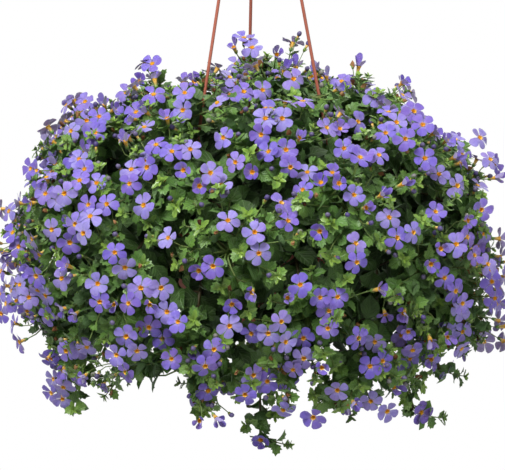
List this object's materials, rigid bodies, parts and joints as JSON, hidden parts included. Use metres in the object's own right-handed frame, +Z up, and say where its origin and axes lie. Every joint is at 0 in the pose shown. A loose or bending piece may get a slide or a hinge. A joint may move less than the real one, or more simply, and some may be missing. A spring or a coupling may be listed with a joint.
{
  "type": "potted bacopa in a hanging pot",
  "caption": "Hanging pot of bacopa in full flower: a plastic pot of soil on a hooked hanger of rods, hidden by a dome of leafy flowering sprays and trailing stems.",
  "frame": {"origin": "the point inside the top of the hook that bears on whatever holds it", "axes": "+Z up along the pot's axis, +X across the hook's opening side, viewer of the picture on -Y"},
  "size_m": [0.511, 0.5124, 0.6909],
  "materials": {
    "pot": "terracotta-coloured moulded plastic, satin",
    "hanger": "terracotta-coloured moulded plastic, smooth",
    "soil": "moist dark potting soil, rough and crumbly",
    "leaf": "soft green leaves and stems with pale violet blooms"
  },
  "bodies": {
    "root": {"pot": "pot", "soil": "soil", "hanger_hook": "hanger", "hanger_rod_1": "hanger", "hanger_rod_2": "hanger", "hanger_rod_3": "hanger", "spray_01": "leaf", "spray_02": "leaf", "spray_03": "leaf", "spray_04": "leaf", "spray_05": "leaf", "spray_06": "leaf", "spray_07": "leaf", "spray_08": "leaf", "spray_09": "leaf", "spray_10": "leaf", "spray_11": "leaf", "spray_12": "leaf", "spray_13": "leaf", "spray_14": "leaf", "spray_15": "leaf", "spray_16": "leaf", "spray_17": "leaf", "spray_18": "leaf", "spray_19": "leaf", "spray_20": "leaf", "spray_21": "leaf", "spray_22": "leaf", "spray_23": "leaf", "spray_24": "leaf", "spray_25": "leaf", "spray_26": "leaf", "spray_27": "leaf", "spray_28": "leaf", "spray_29": "leaf", "spray_30": "leaf", "spray_31": "leaf", "spray_32": "leaf", "spray_33": "leaf", "spray_34": "leaf", "spray_35": "leaf", "spray_36": "leaf", "trail_1": "leaf", "trail_2": "leaf", "trail_3": "leaf", "trail_4": "leaf", "trail_5": "leaf", "trail_6": "leaf", "trail_7": "leaf", "trail_8": "leaf"}
  },
  "joints": []
}
